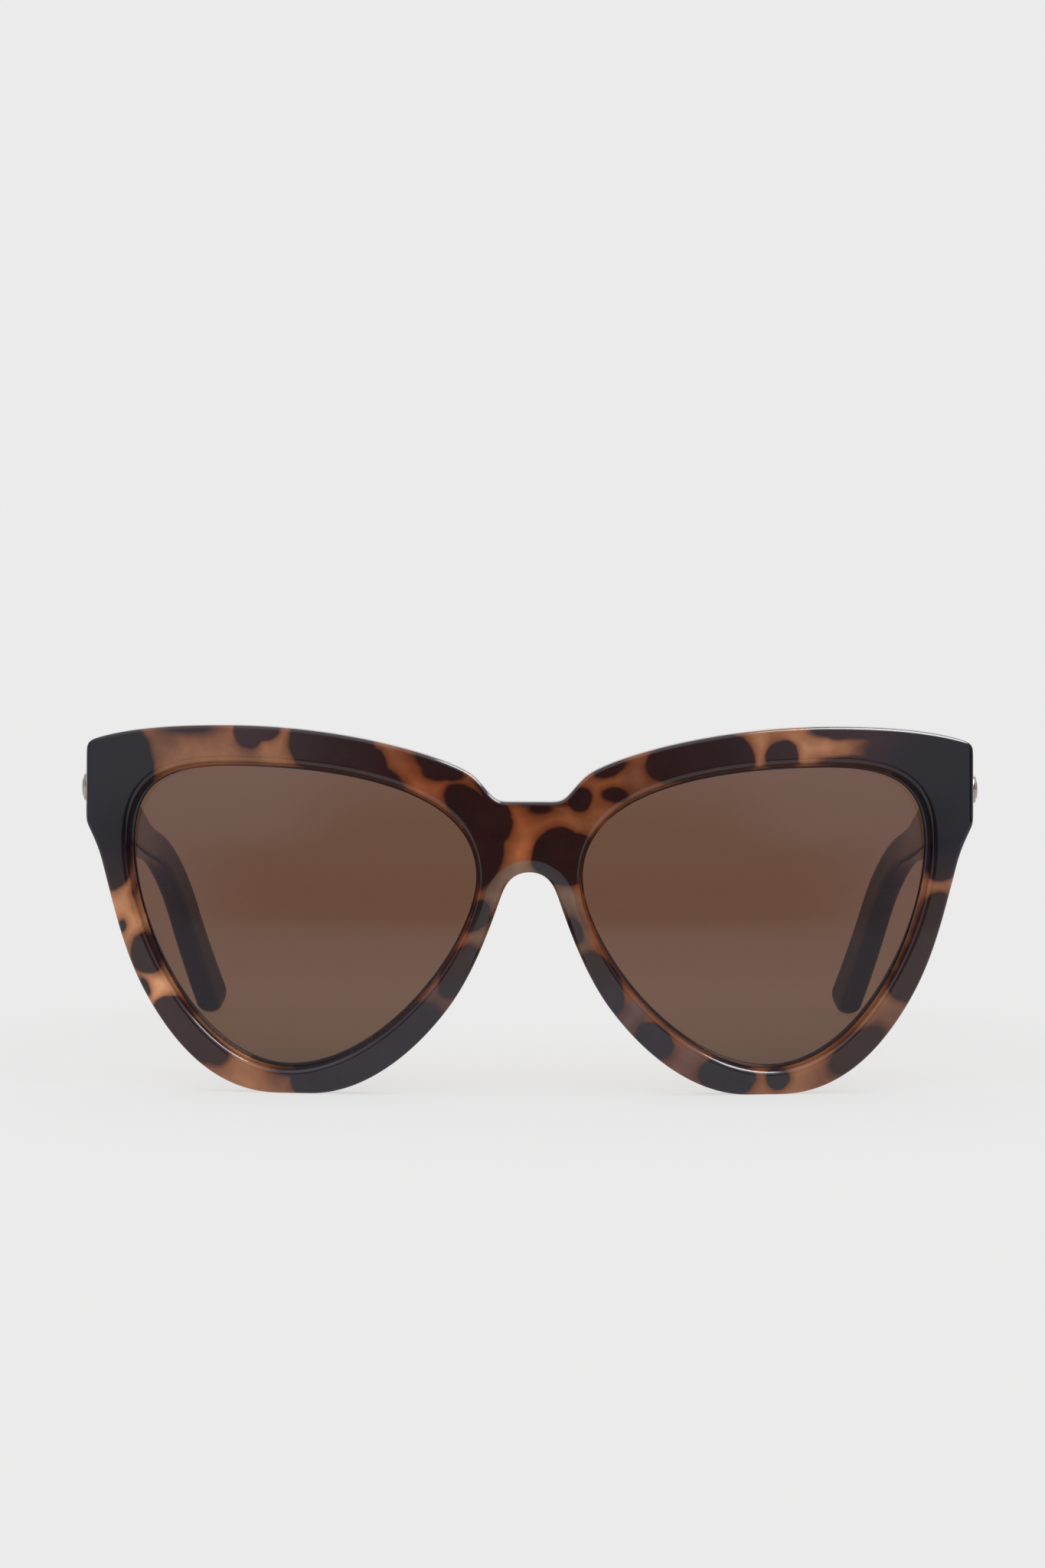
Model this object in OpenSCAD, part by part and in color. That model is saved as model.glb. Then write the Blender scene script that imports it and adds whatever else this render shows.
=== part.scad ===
// Cat eye sunglasses, open, standing on the lower rims and the ear tips.
// Millimetres, +Z up, the front faces -Y. Left and right are the wearer's, so left is +X.

/* [Front] */
// Width across the end pieces
front_width = 147; // [145:0.5:149]
// Radius the front is bent to
front_radius = 250; // [240:5:270]
// Thickness of the rims
rim_thickness = 4.6; // [4.5:0.1:5]
// Depth of the flat behind each end piece, measured from the front-most point
end_depth = 16.5; // [16.3:0.1:17]

/* [Lenses] */
// Radius of the front of the lenses
lens_radius = 132; // [128:1:145]
// Thickness of the lenses
lens_thickness = 1.8; // [1.6:0.1:1.9]
// How far the middle of a lens sits behind the front
lens_set_back = 0.6; // [0.5:0.05:0.7]
// How far a lens reaches into the groove of its rim
lens_in_groove = 0.7; // [0.5:0.05:0.8]

/* [Nose pads] */
// How far the pads stand out behind the rims
pad_reach = 6.5; // [5:0.5:8]
// Width of the pads
pad_width = 3; // [2.6:0.1:3.2]

/* [Temples] */
// Thickness of the temples at the hinge
temple_thickness = 3.8; // [3.6:0.1:4.2]
// Thickness of the temples from the bend on
tip_thickness = 4.2; // [4:0.1:4.4]
// Height of the temples at the hinge
temple_height = 12.6; // [12:0.2:13]
// Height of the temples where they turn down
bend_height = 5.4; // [5.2:0.2:6.6]
// Height of the ear tips
tip_height = 6.6; // [6:0.2:7.4]
// Length from the hinge to the bend
straight_length = 94; // [90:1:98]
// Slope of the temples at the hinge, in degrees
start_slope = 11; // [10:0.5:11.5]
// Slope of the temples where they turn down, in degrees
end_slope = 9; // [8:0.5:9.5]
// Radius of the bend
bend_radius = 38; // [34:1:40]
// Slope of the ear tips, in degrees
tip_slope = 52; // [48:1:54]
// Height of the middle line of the temples at the hinge
temple_level = 50.9; // [50.7:0.1:51.2]

/* [Hinges] */
// Radius of the knuckles
knuckle_radius = 1.25; // [1.15:0.05:1.3]
// Height of one knuckle
knuckle_height = 1.4; // [1.3:0.05:1.45]
// Radius of the hinge screws
screw_radius = 0.65; // [0.6:0.05:0.7]
// Clearance between parts that turn
running_gap = 0.05; // [0.04:0.01:0.06]

/* [Studs] */
// Length of the studs
stud_length = 6.4; // [5:0.2:8]
// Height of the studs
stud_height = 4.6; // [4:0.2:5.4]
// How far the studs stand out
stud_rise = 1.5; // [1.2:0.1:1.8]

/* [Hidden] */
$fn = 96;
width_factor = front_width / 147;
sphere_level = 30;
half_width = front_width / 2;
lens_x = 36.8 * width_factor;
lens_z = 29;
lens_turn = asin(lens_x / front_radius);
lens_y = front_radius - sqrt(pow(front_radius, 2) - pow(lens_x, 2));
hinge_x = half_width - 5.3;
hinge_y = end_depth + knuckle_radius + running_gap;
hinge_z = 50.9;
pitch = knuckle_height + running_gap;
barrel_height = 5 * knuckle_height + 4 * running_gap;
barrel_low = hinge_z - barrel_height / 2;
leaf = 1.2;
inner_face = hinge_x + knuckle_radius + running_gap;
temple_start = end_depth + running_gap;
stud_y = end_depth + 5;
stud_z = 49.6;

acetate = [0.5, 0.32, 0.2];
smoke = [0.35, 0.25, 0.2, 0.7];
metal = [0.75, 0.72, 0.66];
clear_acetate = [0.6, 0.42, 0.28];

// ---- curves ----

function bezier(p, t) =
  pow(1 - t, 3) * p[0] + 3 * pow(1 - t, 2) * t * p[1]
  + 3 * (1 - t) * pow(t, 2) * p[2] + pow(t, 3) * p[3];

function slope_of(p, t) =
  pow(1 - t, 2) * (p[1] - p[0]) + 2 * (1 - t) * t * (p[2] - p[1]) + pow(t, 2) * (p[3] - p[2]);

function outward(p, t) =
  let (d = slope_of(p, t))
  [d[1], -d[0]] / norm(d);

function stretch(p, n, grow) = [for (i = [0 : n - 1]) bezier(p, i / n) + grow * outward(p, i / n)];

function widen(points) = [for (p = points) [p[0] * width_factor, p[1]]];

function flip(points) = [for (i = [len(points) - 1 : -1 : 0]) [-points[i][0], points[i][1]]];

// ---- outline of the front, wearer's left half, from the bridge around to the nose arch ----

bridge_corner = [[4.4, 48.3], [6.6, 48.3], [7.6, 52.2], [11, 53.6]];
brow_inner = [[11, 53.6], [17, 56.6], [32, 60.5], [49, 60.5]];
brow_outer = [[49, 60.5], [59, 60.5], [67, 59.8], [73, 57.8]];
end_notch = [[73.5, 46.5], [73.5, 42], [71.2, 41.5], [70.5, 37]];
rim_outer = [[70.5, 37], [68, 27.5], [66.4, 20.5], [61.5, 13]];
rim_lower = [[61.5, 13], [56.5, 5.2], [50, 0], [41.5, 0]];
rim_inner = [[36, 0], [27.5, 0], [18.8, 6.5], [12.5, 15.5]];
nose_side = [[12.5, 15.5], [8.2, 22], [6.2, 28.5], [4.5, 33.2]];
nose_arch = [[4.5, 33.2], [3.6, 35.7], [2.2, 36.8], [0, 36.8]];

half_outline = widen(concat(
  stretch(bridge_corner, 6, 0), stretch(brow_inner, 8, 0), stretch(brow_outer, 6, 0),
  [[73, 57.8], [73.5, 57.3]], stretch(end_notch, 6, 0), stretch(rim_outer, 7, 0),
  stretch(rim_lower, 8, 0), [[41.5, 0]], stretch(rim_inner, 8, 0),
  stretch(nose_side, 6, 0), stretch(nose_arch, 5, 0)
));

outline = concat(half_outline, [[0, 36.8]], flip(half_outline));

// ---- outline of a lens opening, wearer's left ----

lens_brow_outer = [[65.4, 41], [65.4, 49.5], [62, 53.8], [49, 53.8]];
lens_brow_inner = [[49, 53.8], [34, 53.8], [8.7, 51.5], [8.7, 36]];
lens_inner = [[8.7, 36], [8.7, 25.5], [24, 4.7], [39.5, 4.7]];
lens_outer = [[39.5, 4.7], [54.5, 4.7], [65.4, 27.5], [65.4, 41]];

function lens_outline(grow) = widen(concat(
  stretch(lens_brow_outer, 10, grow), stretch(lens_brow_inner, 12, grow),
  stretch(lens_inner, 12, grow), stretch(lens_outer, 12, grow)
));

function seen_square(points) = [for (p = points) [(p[0] - lens_x) / cos(lens_turn), p[1] - lens_z]];

// ---- path of a temple, seen from the side ----

wire_half = 0.6;
straight_steps = 4;
bend_steps = 10;
tip_steps = 12;
bend_turn = tip_slope - end_slope;
step_length = straight_length / straight_steps;

function slope_at(i) = start_slope + (end_slope - start_slope) * (i + 0.5) / straight_steps;

function straight_point(i) =
  i == 0 ? [temple_start, temple_level]
  : straight_point(i - 1) + step_length * [cos(slope_at(i - 1)), -sin(slope_at(i - 1))];

bend_start = straight_point(straight_steps);

function bend_point(a) =
  bend_start + bend_radius * [sin(a) - sin(end_slope), cos(a) - cos(end_slope)];

bend_end = bend_point(tip_slope);
// The ear tip ends on the floor.
tip_middle_z = tip_height / 2;
tip_length = (bend_end[1] - tip_middle_z) / sin(tip_slope);
tip_middle = bend_end + tip_length * [cos(tip_slope), -sin(tip_slope)];
depth = tip_middle[0] + tip_height / 2;

function edge_shift(a, h) = h / 2 * [sin(a), cos(a)];

function side_edge(s, h0, h1, h2) = concat(
  [for (i = [0 : straight_steps]) straight_point(i)
    + s * edge_shift(i == 0 ? 0 : slope_at(i - 0.5), h0 + (h1 - h0) * i / straight_steps)],
  [for (i = [1 : bend_steps]) bend_point(end_slope + bend_turn * i / bend_steps)
    + s * edge_shift(end_slope + bend_turn * i / bend_steps, h1 + (h2 - h1) * i / bend_steps)]
);

function reversed(points) = [for (i = [len(points) - 1 : -1 : 0]) points[i]];

function temple_side(h0, h1, h2) = concat(
  side_edge(1, h0, h1, h2),
  [for (i = [0 : tip_steps]) tip_middle
    + h2 / 2 * [sin(tip_slope + 180 * i / tip_steps), cos(tip_slope + 180 * i / tip_steps)]],
  reversed(side_edge(-1, h0, h1, h2))
);

// ---- path of a temple, seen from above ----

turn_start = 94;
turn_step = 7.5;
turn_in = 0.0036;

function outer_x(y) = half_width - turn_in * pow(max(0, y - turn_start), 2);

function thickness_at(y) =
  temple_thickness
  + (tip_thickness - temple_thickness) * min(1, (y - temple_start) / (turn_start - temple_start));

// A strip between two shares of the thickness, 0 at the outer face and 1 at the inner face.
function strip_point(y, share) = [outer_x(y) - share * thickness_at(y), y];

function temple_top(inner, outer) = concat(
  [strip_point(temple_start, outer)],
  [for (i = [0 : 8]) strip_point(turn_start + turn_step * i, outer)],
  [for (i = [8 : -1 : 0]) strip_point(turn_start + turn_step * i, inner)],
  [strip_point(temple_start, inner)]
);

// ---- helpers ----

module place() {
  translate([0, -depth / 2, 0])
    children();
}

module right_side() {
  mirror([1, 0, 0])
    children();
}

// Draws an XZ outline from y = from to y = to.
module upright(from, to) {
  translate([0, to, 0])
    rotate([90, 0, 0])
      linear_extrude(height = to - from)
        children();
}

// Draws a YZ outline from x = from to x = to.
module sideways(from, to) {
  translate([from, 0, 0])
    rotate([90, 0, 90])
      linear_extrude(height = to - from)
        children();
}

module front_sphere(r) {
  translate([0, front_radius, sphere_level])
    sphere(r = r, $fn = 240);
}

module lens_solid(grow, gap) {
  translate([lens_x, lens_y, lens_z])
    rotate([0, 0, lens_turn])
      intersection() {
        upright(-2, 10)
          polygon(seen_square(lens_outline(grow)));
        difference() {
          translate([0, lens_set_back + lens_radius, 0])
            sphere(r = lens_radius + gap);
          translate([0, lens_set_back + lens_radius, 0])
            sphere(r = lens_radius - lens_thickness - gap);
        }
      }
}

module lens_opening() {
  translate([lens_x, lens_y, lens_z])
    rotate([0, 0, lens_turn])
      upright(-12, 20)
        polygon(seen_square(lens_outline(0)));
}

module front_leaf() {
  translate([hinge_x - 2, end_depth - leaf, barrel_low])
    cube([2 + knuckle_radius - 0.05, leaf, barrel_height]);
}

module end_block() {
  intersection() {
    upright(5, end_depth)
      polygon(outline);
    upright(4, end_depth + 1)
      polygon(widen([
        [75, 44.4], [66.6, 44.4], [66.6, 47.5], [65.5, 50.5], [62.8, 53.4],
        [58, 55], [52, 55.4], [52, 62], [75, 62]
      ]));
    linear_extrude(height = 70)
      polygon(widen([[50, 4], [75, 4], [75, end_depth], [65.5, end_depth], [59.5, 13.2], [52, 9.5]]));
    front_sphere(front_radius);
  }
}

module knuckle(level, reach_y, reach_x) {
  translate([hinge_x, hinge_y, barrel_low + level * pitch])
    difference() {
      union() {
        cylinder(r = knuckle_radius, h = knuckle_height);
        if (reach_y > 0)
          translate([-knuckle_radius, -reach_y, 0])
            cube([2 * knuckle_radius - 0.05, reach_y, knuckle_height]);
        if (reach_x > 0)
          translate([0, -knuckle_radius, 0])
            cube([reach_x, 2 * knuckle_radius, knuckle_height]);
      }
      translate([0, 0, -1])
        cylinder(r = screw_radius + running_gap, h = knuckle_height + 2);
    }
}

rivet_radius = 0.5;
front_rivet_x = hinge_x - 1.1;
rivet_spots = [[temple_start + 5.5, hinge_z + 1.8], [temple_start + 7.6, hinge_z - 2.95]];

module front_rivet_pins() {
  for (z = [hinge_z - 2.5, hinge_z + 2.5])
    translate([front_rivet_x, end_depth, z])
      rotate([90, 0, 0])
        cylinder(r = rivet_radius, h = 3.6);
}

module temple_rivet_pins() {
  for (p = rivet_spots)
    translate([inner_face, p[0], p[1]])
      rotate([0, 90, 0])
        cylinder(r = rivet_radius, h = temple_thickness - 0.8);
}

module temple_leaf() {
  translate([inner_face, temple_start + 2.4, barrel_low])
    cube([leaf, 8.6, barrel_height]);
}

module temple_webs() {
  for (level = [1, 3])
    translate([inner_face - 0.001, temple_start, barrel_low + level * pitch - running_gap])
      cube([leaf + 0.001, 3, knuckle_height + 2 * running_gap]);
}

module wire() {
  intersection() {
    sideways(40, 80)
      polygon(temple_side(2 * wire_half, 2 * wire_half, 2 * wire_half));
    linear_extrude(height = 70)
      polygon(temple_top(0.64, 0.38));
    translate([0, 0, 10])
      cube([100, 200, 80]);
  }
}

module stud_post() {
  translate([half_width - 1.2, stud_y, stud_z])
    rotate([0, 90, 0])
      cylinder(r = 0.5, h = 1.2);
}

// ---- left-hand shapes, mirrored for the right ----

module temple_shape() {
  difference() {
    intersection() {
      sideways(40, 80)
        polygon(temple_side(temple_height, bend_height, tip_height));
      linear_extrude(height = 70)
        polygon(temple_top(1, 0));
    }
    temple_leaf();
    temple_webs();
    temple_rivet_pins();
    wire();
    stud_post();
  }
}

module temple_hinge_shape() {
  difference() {
    union() {
      temple_leaf();
      for (level = [1, 3])
        knuckle(level, 0, inner_face + leaf - hinge_x);
      for (level = [1, 3])
        translate([inner_face, temple_start + 0.1, barrel_low + level * pitch])
          cube([leaf, 3, knuckle_height]);
    }
    temple_rivet_pins();
  }
}

module front_hinge_shape() {
  difference() {
    union() {
      front_leaf();
      for (level = [0, 2, 4])
        knuckle(level, knuckle_radius + running_gap + 0.5, 0);
    }
    front_rivet_pins();
  }
}

module screw_shape() {
  translate([hinge_x, hinge_y, barrel_low]) {
    cylinder(r = screw_radius, h = barrel_height);
    translate([0, 0, barrel_height])
      difference() {
        cylinder(r = 1.1, h = 0.6);
        translate([-2, -0.15, 0.3])
          cube([4, 0.3, 1]);
      }
  }
}

module pad_shape() {
  intersection() {
    upright(0, 14)
      polygon(widen(concat(
        [for (i = [0 : 6]) bezier(nose_side, i / 6) + 0.6 * outward(nose_side, i / 6)],
        [for (i = [6 : -1 : 0]) bezier(nose_side, i / 6) + (0.6 + pad_width) * outward(nose_side, i / 6)]
      )));
    translate([8.6, 2.2, 24.5])
      sphere(r = 2.6 + pad_reach);
    front_sphere(front_radius - rim_thickness);
  }
}

module stud_shape() {
  cap = 6;
  translate([half_width, stud_y, stud_z])
    intersection() {
      sideways(0, stud_rise)
        polygon([for (a = [0 : 10 : 350]) [stud_length / 2 * cos(a), stud_height / 2 * sin(a)]]);
      translate([stud_rise - cap, 0, 0])
        sphere(r = cap);
    }
  stud_post();
}

// ---- pieces ----

module front_frame() {
  color(acetate)
    place()
      difference() {
        union() {
          intersection() {
            upright(-2, end_depth)
              polygon(outline);
            difference() {
              front_sphere(front_radius);
              front_sphere(front_radius - rim_thickness);
            }
          }
          end_block();
          right_side()
            end_block();
        }
        lens_opening();
        right_side()
          lens_opening();
        lens_solid(lens_in_groove + 0.05, 0.05);
        right_side()
          lens_solid(lens_in_groove + 0.05, 0.05);
        front_leaf();
        right_side()
          front_leaf();
        front_rivet_pins();
        right_side()
          front_rivet_pins();
      }
}

module lens_left() {
  color(smoke)
    place()
      lens_solid(lens_in_groove, 0);
}

module lens_right() {
  color(smoke)
    place()
      right_side()
        lens_solid(lens_in_groove, 0);
}

module nose_pad_left() {
  color(clear_acetate)
    place()
      pad_shape();
}

module nose_pad_right() {
  color(clear_acetate)
    place()
      right_side()
        pad_shape();
}

module front_hinge_left() {
  color(metal)
    place()
      front_hinge_shape();
}

module front_hinge_right() {
  color(metal)
    place()
      right_side()
        front_hinge_shape();
}

module front_rivets_left() {
  color(metal)
    place()
      front_rivet_pins();
}

module front_rivets_right() {
  color(metal)
    place()
      right_side()
        front_rivet_pins();
}

module temple_left() {
  color(acetate)
    place()
      temple_shape();
}

module temple_right() {
  color(acetate)
    place()
      right_side()
        temple_shape();
}

module temple_hinge_left() {
  color(metal)
    place()
      temple_hinge_shape();
}

module temple_hinge_right() {
  color(metal)
    place()
      right_side()
        temple_hinge_shape();
}

module temple_rivets_left() {
  color(metal)
    place()
      temple_rivet_pins();
}

module temple_rivets_right() {
  color(metal)
    place()
      right_side()
        temple_rivet_pins();
}

module core_wire_left() {
  color(metal)
    place()
      wire();
}

module core_wire_right() {
  color(metal)
    place()
      right_side()
        wire();
}

module stud_left() {
  color(metal)
    place()
      stud_shape();
}

module stud_right() {
  color(metal)
    place()
      right_side()
        stud_shape();
}

module hinge_screw_left() {
  color(metal)
    place()
      screw_shape();
}

module hinge_screw_right() {
  color(metal)
    place()
      right_side()
        screw_shape();
}

front_frame();
lens_right();
lens_left();
nose_pad_right();
nose_pad_left();
front_hinge_right();
front_hinge_left();
front_rivets_right();
front_rivets_left();
temple_right();
temple_left();
temple_hinge_right();
temple_hinge_left();
temple_rivets_right();
temple_rivets_left();
core_wire_right();
core_wire_left();
stud_right();
stud_left();
hinge_screw_right();
hinge_screw_left();
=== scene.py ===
import math
import random

import bmesh
import bpy
import numpy as np
from mathutils import Matrix, Vector
from mathutils.geometry import delaunay_2d_cdt


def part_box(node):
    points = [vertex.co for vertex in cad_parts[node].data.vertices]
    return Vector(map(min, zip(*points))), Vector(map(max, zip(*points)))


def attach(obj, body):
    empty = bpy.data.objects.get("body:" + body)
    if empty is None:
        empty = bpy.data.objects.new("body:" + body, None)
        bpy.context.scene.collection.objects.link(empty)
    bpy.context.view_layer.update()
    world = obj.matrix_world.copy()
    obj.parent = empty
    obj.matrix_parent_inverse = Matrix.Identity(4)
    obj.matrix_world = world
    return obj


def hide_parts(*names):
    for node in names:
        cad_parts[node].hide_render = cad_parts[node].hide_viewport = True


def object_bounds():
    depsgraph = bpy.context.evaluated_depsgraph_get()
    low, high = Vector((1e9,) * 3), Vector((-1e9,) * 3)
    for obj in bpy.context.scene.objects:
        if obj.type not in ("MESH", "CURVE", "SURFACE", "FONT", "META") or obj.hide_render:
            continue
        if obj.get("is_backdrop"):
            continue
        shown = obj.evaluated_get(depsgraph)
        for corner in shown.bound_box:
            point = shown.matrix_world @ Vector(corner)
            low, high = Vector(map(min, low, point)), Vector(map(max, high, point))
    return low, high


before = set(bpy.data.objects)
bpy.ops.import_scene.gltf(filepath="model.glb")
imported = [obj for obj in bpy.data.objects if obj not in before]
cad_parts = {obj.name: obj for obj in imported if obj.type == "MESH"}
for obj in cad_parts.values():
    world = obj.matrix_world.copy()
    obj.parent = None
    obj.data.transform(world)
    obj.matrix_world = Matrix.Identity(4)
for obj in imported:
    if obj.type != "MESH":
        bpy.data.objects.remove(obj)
CAD_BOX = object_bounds()

# Shapes are written in local millimetres: x and z as in the frame, and y = 0 at the plane that
# touches the front of the glasses. MM and ROW_Y turn them into the frame's metres.
MM = 0.001
ROW_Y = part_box("front_frame")[0][1]
SIDES = (("right", -1), ("left", 1))
# Points closer than this, in metres, are joined.
WELD = 1e-6

# ---------------------------------------------------------------- front: sizes
# Both surfaces of the front are spheres about the height FRONT_Z; RIM is the thickness between them.
FRONT_R, FRONT_Z, RIM = 250.0, 30.0, 4.6
# The end block behind each hinge corner: its flat back, where it starts, and the ramp up to it.
BLOCK_BACK, BLOCK_X, BLOCK_Z = 16.45, 58.0, 43.4
RAMP_X, RAMP_Y, RAMP_SLOPE = 59.5, 13.2, 0.55
# Lengths over which the block comes in along x and z, and its gap and fade at a lens opening.
BLOCK_FADE_X, BLOCK_FADE_Z, BLOCK_GAP, BLOCK_GAP_FADE = 3.0, 2.6, 0.5, 1.3
# Spacing of the points along each outline, and how often its corners are relaxed.
STEP, RELAX = 0.5, 3
# Points on the surfaces: spacing in a row, rows against it, reach in x and z, gap to the edge rings.
PITCH_XZ, ROW_SHARE, GRID_X, GRID_Z, RING_GAP = 0.8, 0.87, (-74, 74.1), (0, 61.1), 0.45
# A triangle with less than half this area, in square millimetres, is a sliver.
SLIVER = 1e-4
# Steps round an edge at the front, and the way on to the ring that keeps the surface beside it even.
EDGE_STEPS, SUPPORT = 9, 0.15
# Radius, steps and support ring of the rounded edges at the back.
EDGE = 0.55
OUTLINE_BACK = (EDGE, 6, 0.72)
OPENING_BACK = (0.5, 5, 0.65)
# The bevel of the outline stays this far from a lens opening, and is never narrower than this.
BEVEL_GAP, BEVEL_LEAST = 1.8, 0.45
# The lens opening: ledge that the lens rests on, draft of its wall, depth of the wall, and lip.
LEDGE, DRAFT, DRAFT_TILT, WALL_DEPTH, LIP_DEPTH = 0.25, 0.28, 1.9, 0.95, 0.12
# Material numbers of the front's faces.
FACE, WALL, LIP = 0, 1, 2

# Lenses: middle of the opening, radius and thickness, place along y, and how deep the rim holds them.
LENS_X, LENS_Z = 36.8, 29.0
LENS_R, LENS_VERTEX, LENS_THICK = 132.0, 0.6, 1.8
LENS_Y, LENS_GRIP = 2.72, 0.6


def front_y(x, z):
    """Front surface of the front."""
    return FRONT_R - np.sqrt(FRONT_R**2 - x**2 - (z - FRONT_Z) ** 2)


def smooth(t):
    """A soft step: 0 up to t = 0 and 1 from t = 1."""
    t = np.clip(t, 0.0, 1.0)
    return t * t * (3 - 2 * t)


def fade(value, start, end):
    """A soft step that is 0 at start and 1 at end."""
    return smooth((value - start) / (end - start))


def bezier(points, shares=np.linspace(0, 1, 41)[:-1]):
    """Points of a cubic curve at these shares of its course."""
    t = shares[:, None]
    a, b, c, d = (np.array(q, float) for q in points)
    return (1 - t) ** 3 * a + 3 * t * (1 - t) ** 2 * b + 3 * t * t * (1 - t) * c + t**3 * d


def resample(loop, step):
    """The closed loop with even spacing."""
    p = np.vstack([loop, loop[:1]])
    s = np.concatenate([[0], np.cumsum(np.hypot(*np.diff(p, axis=0).T))])
    n = max(8, int(round(s[-1] / step)))
    t = np.linspace(0, s[-1], n, endpoint=False)
    return np.stack([np.interp(t, s, p[:, 0]), np.interp(t, s, p[:, 1])], 1)


def relax(loop, times):
    """Rounds the loop's corners a little."""
    for _ in range(times):
        loop = 0.5 * loop + 0.25 * (np.roll(loop, 1, 0) + np.roll(loop, -1, 0))
    return loop


# Curves of the outline from the middle of the top to the middle of the nose arch, as x, z.
HALF = [
    [[4.4, 48.3], [6.6, 48.3], [7.6, 52.2], [11, 53.6]],
    [[11, 53.6], [17, 56.6], [32, 60.5], [49, 60.5]],
    [[49, 60.5], [59, 60.5], [66.5, 59.8], [72, 58.1]],
    [[72, 58.1], [73.1, 57.8], [73.5, 57.4], [73.5, 56.4]],
    [[73.5, 56.4], [73.5, 52.4], [73.5, 48.4], [73.5, 45.0]],
    [[73.5, 45.0], [73.5, 44.3], [73.2, 43.9], [72.9, 43.3]],
    [[72.9, 43.3], [71.8, 41.0], [71.2, 39.8], [70.5, 37]],
    [[70.5, 37], [68, 27.5], [66.4, 20.5], [61.5, 13]],
    [[61.5, 13], [56.5, 5.2], [50, 0], [41.5, 0]],
    [[41.5, 0], [39.7, 0], [37.8, 0], [36, 0]],
    [[36, 0], [27.5, 0], [18.8, 6.5], [12.5, 15.5]],
    [[12.5, 15.5], [8.2, 22], [6.2, 28.5], [4.5, 33.2]],
    [[4.5, 33.2], [3.6, 35.7], [2.2, 36.8], [0, 36.8]],
]
# Number of the curve beside the nose.
NOSE_SIDE = 11
# Curves of one lens opening.
OPENING = [
    [[65.4, 41], [65.4, 49.5], [62, 53.8], [49, 53.8]],
    [[49, 53.8], [34, 53.8], [8.7, 51.5], [8.7, 36]],
    [[8.7, 36], [8.7, 25.5], [24, 4.7], [39.5, 4.7]],
    [[39.5, 4.7], [54.5, 4.7], [65.4, 27.5], [65.4, 41]],
]


def outline():
    """The whole outline of the front, as x, z."""
    half = np.vstack([bezier(p) for p in HALF])
    other = half[::-1] * [-1, 1]
    loop = np.vstack([half, HALF[-1][-1:], other])
    return relax(resample(loop, STEP), RELAX)[::-1]


OUTLINE = outline()
LENS_LOOP = relax(resample(np.vstack([bezier(p) for p in OPENING]), STEP), RELAX)


def near(loop, x, z):
    """Distance of each point from the loop's points."""
    p = np.stack([np.ravel(x), np.ravel(z)], 1)
    out = np.empty(len(p))
    batch = 400
    for i in range(0, len(p), batch):
        q = p[i : i + batch]
        out[i : i + batch] = np.sqrt(((q[:, None] - loop[None]) ** 2).sum(2).min(1))
    return out.reshape(np.shape(x))


def inside(loop, x, z):
    """Whether each point is inside the loop."""
    a, b = loop, np.roll(loop, -1, 0)
    hit = np.zeros(np.shape(x), bool)
    for (ax, az), (bx, bz) in zip(a, b):
        if az == bz:
            continue
        cross = (az > z) != (bz > z)
        hit ^= cross & (x < (bx - ax) * (z - az) / (bz - az) + ax)
    return hit


def outward(loop):
    """Unit normals that point out of the loop; a point 0.3 mm off it tells which way that is."""
    t = np.roll(loop, -1, 0) - np.roll(loop, 1, 0)
    t /= np.hypot(t[:, 0], t[:, 1])[:, None]
    n = np.stack([-t[:, 1], t[:, 0]], 1)
    return -n if inside(loop, *(loop[:1] + n[:1] * 0.3).T)[0] else n


def back_y(x, z):
    """Back surface: the wrap of the front, thickened to a flat end block at each hinge."""
    x = np.abs(x)
    r = FRONT_R - RIM
    y = FRONT_R - np.sqrt(r**2 - x**2 - (z - FRONT_Z) ** 2)
    ramp = np.minimum(RAMP_Y + (x - RAMP_X) * RAMP_SLOPE, BLOCK_BACK)
    share = smooth((z - BLOCK_Z) / BLOCK_FADE_Z) * smooth((x - BLOCK_X) / BLOCK_FADE_X)
    share = share * smooth((near(LENS_LOOP, x, z) - BLOCK_GAP) / BLOCK_GAP_FADE)
    return np.minimum(y + np.maximum(ramp - y, 0) * share, BLOCK_BACK)


# ---------------------------------------------------------------- mesh helpers
def new_piece(name, verts, faces, kinds=None):
    """A smooth closed object; kinds are its faces' material numbers."""
    mesh = bpy.data.meshes.new(name)
    v = np.array(verts, float) * MM
    v[:, 1] += ROW_Y
    mesh.from_pydata(v.tolist(), [], [list(map(int, f)) for f in faces])
    mesh.validate()
    if kinds:
        mesh.polygons.foreach_set("material_index", kinds)
    bm = bmesh.new()
    bm.from_mesh(mesh)
    bmesh.ops.remove_doubles(bm, verts=bm.verts, dist=WELD)
    bmesh.ops.recalc_face_normals(bm, faces=bm.faces)
    bm.to_mesh(mesh)
    bm.free()
    for p in mesh.polygons:
        p.use_smooth = True
    obj = bpy.data.objects.new(name, mesh)
    bpy.context.scene.collection.objects.link(obj)
    return obj


def add_points(verts, x, y, z):
    """Adds a row of points to verts and returns their numbers."""
    start = len(verts)
    verts.extend(np.stack([x, y, z], 1).tolist())
    return np.arange(start, len(verts))


def band(a, b):
    """Quads between two closed rings of points."""
    n = len(a)
    return [(a[i], a[(i + 1) % n], b[(i + 1) % n], b[i]) for i in range(n)]


def fan(ring, tip):
    """Triangles between a closed ring and one point."""
    n = len(ring)
    return [(ring[i], ring[(i + 1) % n], tip) for i in range(n)]


def quarter(steps):
    """Sine and cosine at even steps over a quarter turn."""
    out = []
    for j in range(steps + 1):
        a = math.pi / 2 * j / steps
        out.append((math.sin(a), 0.0 if j == steps else math.cos(a)))
    return out


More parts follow.
